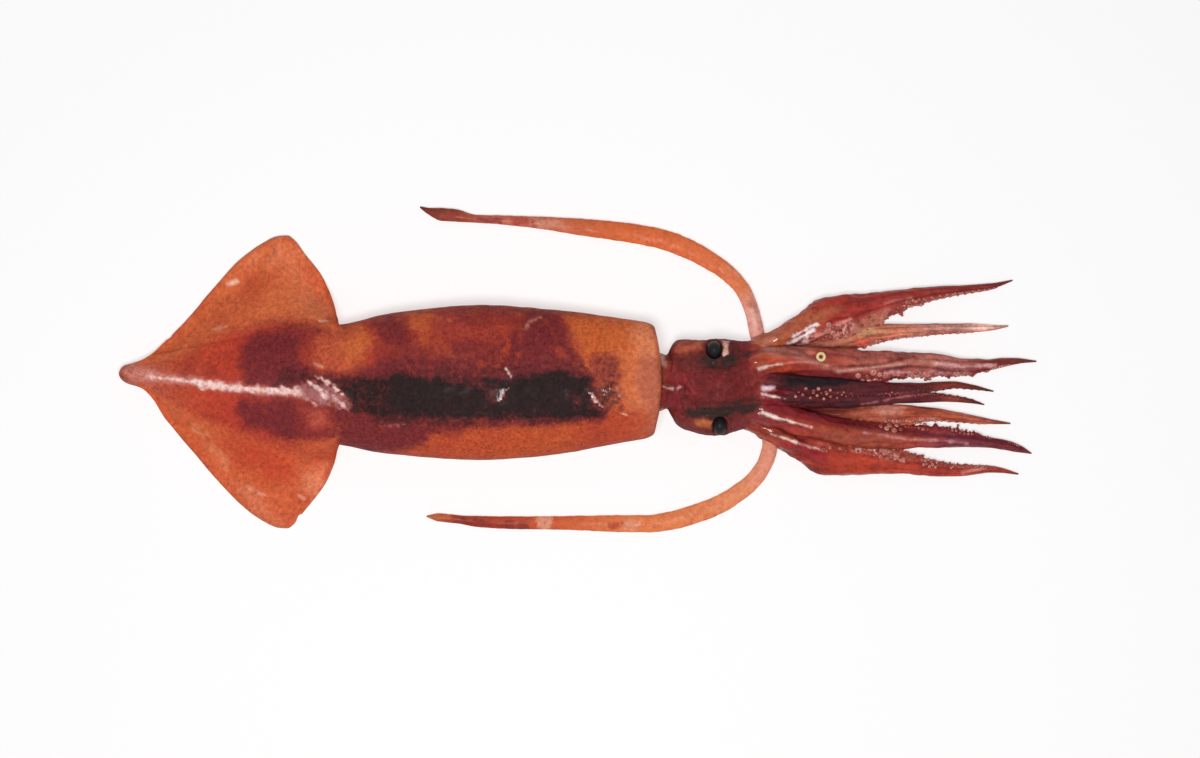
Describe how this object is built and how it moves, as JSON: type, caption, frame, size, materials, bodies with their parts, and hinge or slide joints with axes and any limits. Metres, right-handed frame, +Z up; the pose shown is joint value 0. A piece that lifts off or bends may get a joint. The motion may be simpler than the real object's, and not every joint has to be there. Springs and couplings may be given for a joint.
{
  "type": "whole raw squid",
  "caption": "Whole raw squid lying belly down, with fins spread, arms forward and both tentacles folded back along its sides.",
  "frame": {"origin": "middle of the footprint, on the surface that the squid lies on", "axes": "+X towards the arm tips, +Y towards the squid's left side, +Z up from the belly to the back"},
  "size_m": [0.4234, 0.1506, 0.0379],
  "materials": {
    "mantle_skin": "wet, smooth, speckled brown-red skin",
    "head_skin": "wet, smooth, dark red skin",
    "eye": "wet, glossy black"
  },
  "bodies": {
    "root": {"mantle": "mantle_skin", "head": "head_skin", "eye_left": "eye", "eye_right": "eye"}
  },
  "joints": []
}
